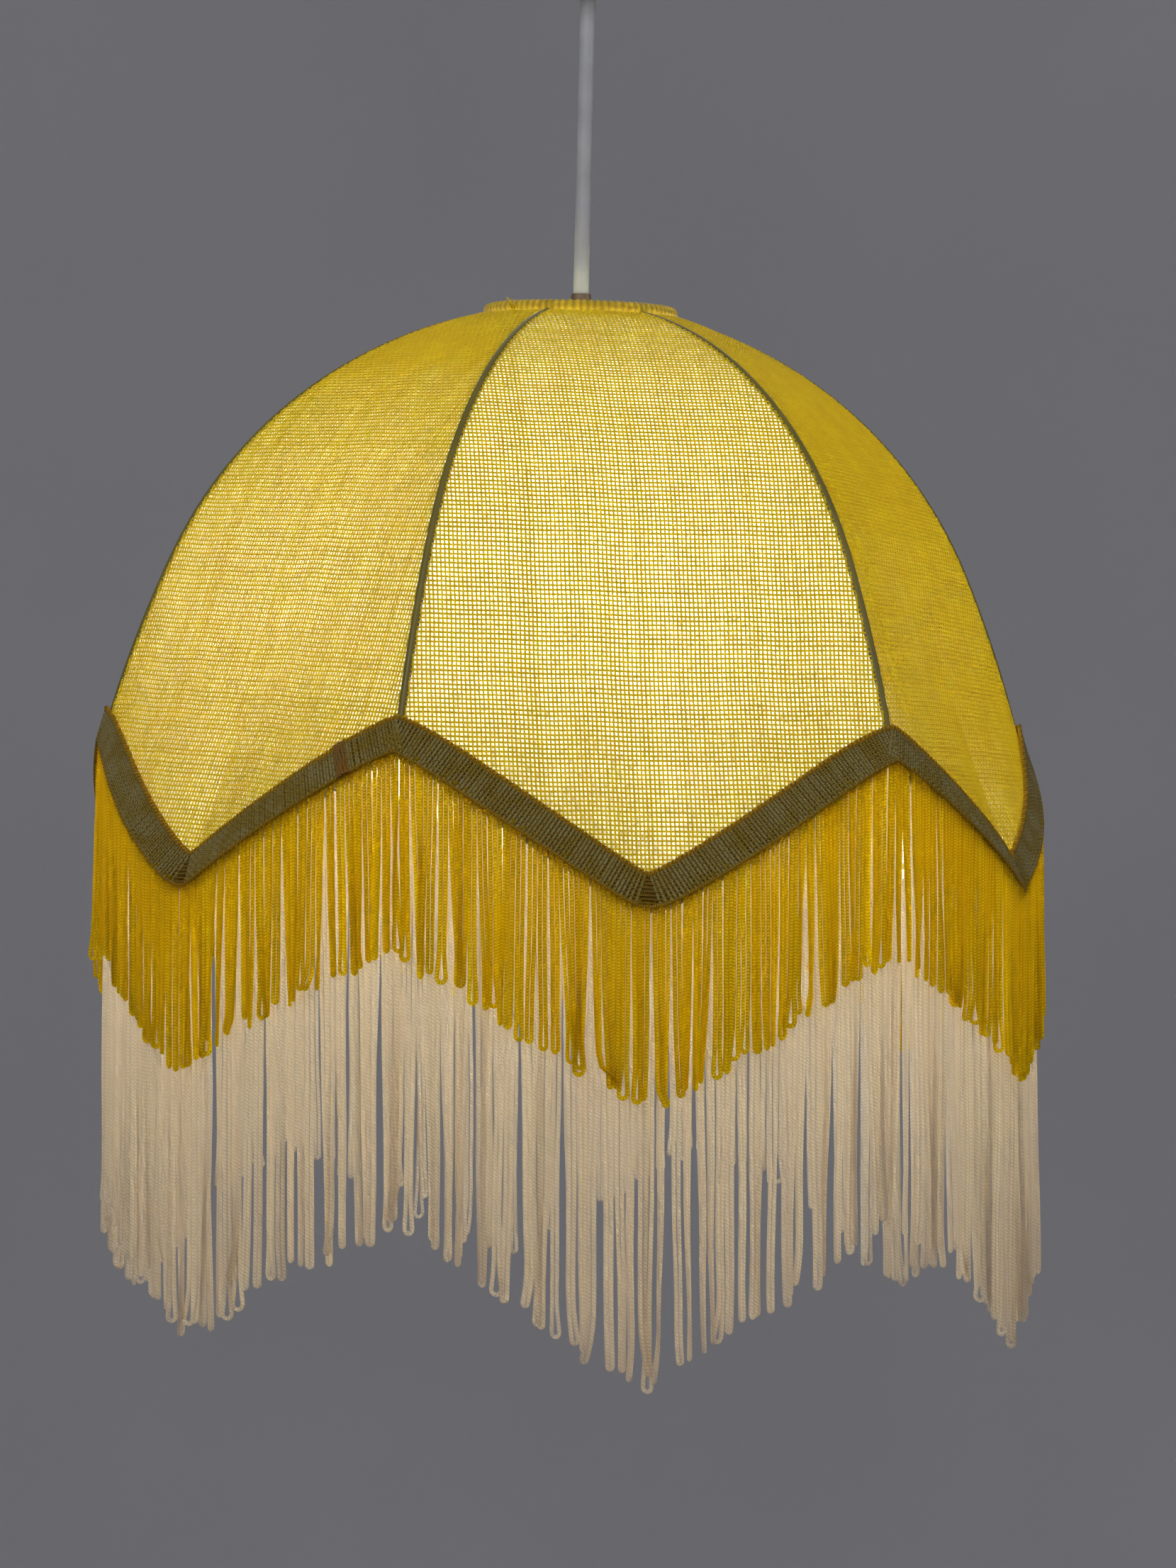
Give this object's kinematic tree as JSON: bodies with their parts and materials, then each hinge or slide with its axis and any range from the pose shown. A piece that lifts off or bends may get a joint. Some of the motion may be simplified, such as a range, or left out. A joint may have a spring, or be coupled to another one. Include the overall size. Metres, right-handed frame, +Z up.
{
  "type": "lamp shade",
  "caption": "Fringed fabric dome lamp shade on a wire frame with a scalloped hem, hanging on its lampholder and flex from a small ceiling rose.",
  "frame": {"origin": "centre of the ceiling rose's face, where it meets the ceiling", "axes": "+Z up along the flex; +X over a rib of the frame, so the middle of a gore faces -Y"},
  "size_m": [0.3618, 0.3628, 0.531],
  "materials": {
    "wire": "dark olive lacquered steel wire",
    "gore_fabric": "open square weave of thick golden yellow thread",
    "binding": "gathered golden yellow bias binding",
    "yellow_trim": "woven fringe heading, ochre and olive, corded edge",
    "yellow_fringe": "golden yellow looped rayon cord",
    "white_trim": "white woven fringe heading",
    "white_fringe": "off-white looped rayon cord",
    "white_plastic": "moulded white",
    "grip": "dark grip bush",
    "flex": "white round mains flex",
    "core": "insulated core",
    "brass": "plain",
    "ceramic": "glazed insulator",
    "aluminium": "bright",
    "black_glass": "black glass insulator",
    "bulb_glass": "pearl glass, lit"
  },
  "bodies": {
    "ceiling": {"rose_base": "white_plastic", "terminal_block": "ceramic", "terminal_screws": "brass", "flex_tail": "flex"},
    "rose_cover": {"rose_cover": "white_plastic"},
    "outlet_bush": {"outlet_bush": "grip"},
    "pendant": {"flex": "flex", "cord_grip": "grip", "flex_cores": "core", "holder_cap": "white_plastic", "holder_body": "white_plastic", "holder_terminals": "brass", "contact_block": "ceramic", "contact_shell": "aluminium", "centre_contact": "brass"},
    "shade_nut": {"shade_nut": "white_plastic"},
    "shade": {"top_ring": "wire", "fitter_ring": "wire", "hem_wire": "wire", "rib_1": "wire", "rib_2": "wire", "rib_3": "wire", "rib_4": "wire", "rib_5": "wire", "rib_6": "wire", "spoke_1": "wire", "spoke_2": "wire", "spoke_3": "wire", "gore_1": "gore_fabric", "gore_2": "gore_fabric", "gore_3": "gore_fabric", "gore_4": "gore_fabric", "gore_5": "gore_fabric", "gore_6": "gore_fabric", "top_binding": "binding", "yellow_trim": "yellow_trim", "white_tape": "white_trim", "yellow_fringe": "yellow_fringe", "white_fringe": "white_fringe"},
    "bulb": {"bulb_cap": "aluminium", "bulb_insulator": "black_glass", "bulb_tip": "aluminium", "bulb_glass": "bulb_glass"}
  },
  "joints": [
    {"name": "rose_cover_turn", "type": "hinge", "parent": "ceiling", "child": "rose_cover", "pos_m": [0, 0, -0.014], "axis": [0, 0, 1], "continuous": true},
    {"name": "swing_fore_aft", "type": "hinge", "parent": "ceiling", "child": "outlet_bush", "pos_m": [0, 0, -0.027], "axis": [1, 0, 0], "range_deg": [-12, 12]},
    {"name": "swing_sideways", "type": "hinge", "parent": "outlet_bush", "child": "pendant", "pos_m": [0, 0, -0.027], "axis": [0, 1, 0], "range_deg": [-12, 12]},
    {"name": "nut_unscrew", "type": "slide", "parent": "pendant", "child": "shade_nut", "axis": [0, 0, 1], "range_m": [-0.019, 0]},
    {"name": "shade_turn", "type": "hinge", "parent": "shade_nut", "child": "shade", "pos_m": [0, 0, -0.182], "axis": [0, 0, 1], "continuous": true},
    {"name": "bulb_unscrew", "type": "slide", "parent": "pendant", "child": "bulb", "axis": [0, 0, 1], "range_m": [-0.025, 0]}
  ]
}
